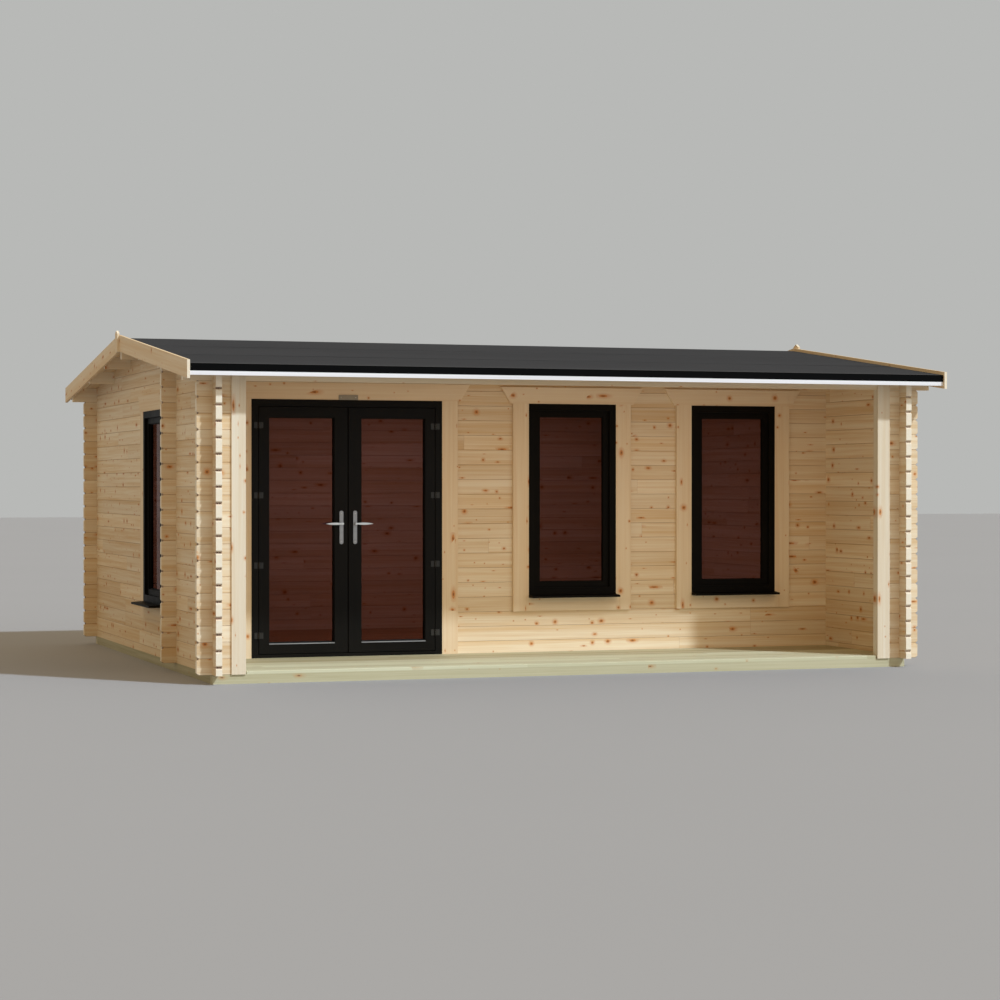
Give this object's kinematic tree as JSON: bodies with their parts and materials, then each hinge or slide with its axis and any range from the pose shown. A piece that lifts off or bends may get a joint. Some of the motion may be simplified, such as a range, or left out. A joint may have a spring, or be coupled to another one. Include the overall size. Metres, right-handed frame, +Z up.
{
  "type": "log cabin",
  "caption": "Log cabin with interlocking corner logs, a low felted ridge roof, a covered porch, black glazed double doors and tall black-framed windows.",
  "frame": {"origin": "middle of the plan at ground level, under the bearers", "axes": "+Z up, -Y out of the porch, +X to the right for someone who faces the porch"},
  "size_m": [5.786, 5.174, 2.5549],
  "materials": {
    "pine_logs": "planed, untreated",
    "planed_pine": "planed, untreated",
    "floor_boards": "planed, untreated",
    "treated_timber": "pressure treated",
    "roofing_felt": "matt mineral felt",
    "white_trim": "satin white",
    "black_frames": "satin black",
    "tinted_glass": "tinted sealed pane",
    "hinge_metal": "satin grey",
    "satin_steel": "satin",
    "grey_cover": "matt grey"
  },
  "bodies": {
    "cabin": {"side_bearers": "treated_timber", "cross_bearers": "treated_timber", "porch_deck": "treated_timber", "room_floor": "floor_boards", "front_wall_left": "pine_logs", "front_wall_lower": "pine_logs", "front_wall_piers": "pine_logs", "front_wall_header": "pine_logs", "back_wall": "pine_logs", "left_gable_lower": "pine_logs", "left_gable_front": "pine_logs", "left_gable_rear": "pine_logs", "left_gable_top": "pine_logs", "right_gable_wall": "pine_logs", "front_stubs": "pine_logs", "porch_posts": "planed_pine", "eave_purlins": "planed_pine", "ridge_purlin": "planed_pine", "roof_purlins": "planed_pine", "front_roof_boards": "planed_pine", "back_roof_boards": "planed_pine", "front_felt": "roofing_felt", "back_felt": "roofing_felt", "fascia_boards": "planed_pine", "drip_strips": "white_trim", "front_bargeboards": "planed_pine", "back_bargeboards": "planed_pine", "gable_finials": "planed_pine", "door_jambs": "black_frames", "door_head": "black_frames", "door_threshold": "black_frames", "casing_uprights": "planed_pine", "casing_boards": "planed_pine", "cover_plate": "grey_cover", "window_frames": "black_frames", "window_panes": "tinted_glass", "window_sills": "black_frames", "frame_hinges": "hinge_metal"},
    "left_door": {"left_leaf": "black_frames", "left_pane": "tinted_glass", "left_hinges": "hinge_metal", "left_plates": "satin_steel"},
    "right_door": {"right_leaf": "black_frames", "right_pane": "tinted_glass", "right_hinges": "hinge_metal", "right_plates": "satin_steel"},
    "left_handle": {"left_lever": "satin_steel"},
    "right_handle": {"right_lever": "satin_steel"}
  },
  "joints": [
    {"name": "left_door_hinge", "type": "hinge", "parent": "cabin", "child": "left_door", "pos_m": [-2.0395, -1.146, 1], "axis": [0, 0, -1], "range_deg": [0, 100]},
    {"name": "right_door_hinge", "type": "hinge", "parent": "cabin", "child": "right_door", "pos_m": [-0.6745, -1.146, 1], "axis": [0, 0, 1], "range_deg": [0, 100]},
    {"name": "left_lever_turn", "type": "hinge", "parent": "left_door", "child": "left_handle", "pos_m": [-1.41, -1.137, 1.078], "axis": [0, -1, 0], "range_deg": [0, 40], "stiffness_Nm_per_rad": 2, "springref_deg": -17.19},
    {"name": "right_lever_turn", "type": "hinge", "parent": "right_door", "child": "right_handle", "pos_m": [-1.304, -1.137, 1.078], "axis": [0, 1, 0], "range_deg": [0, 40], "stiffness_Nm_per_rad": 2, "springref_deg": -17.19}
  ]
}
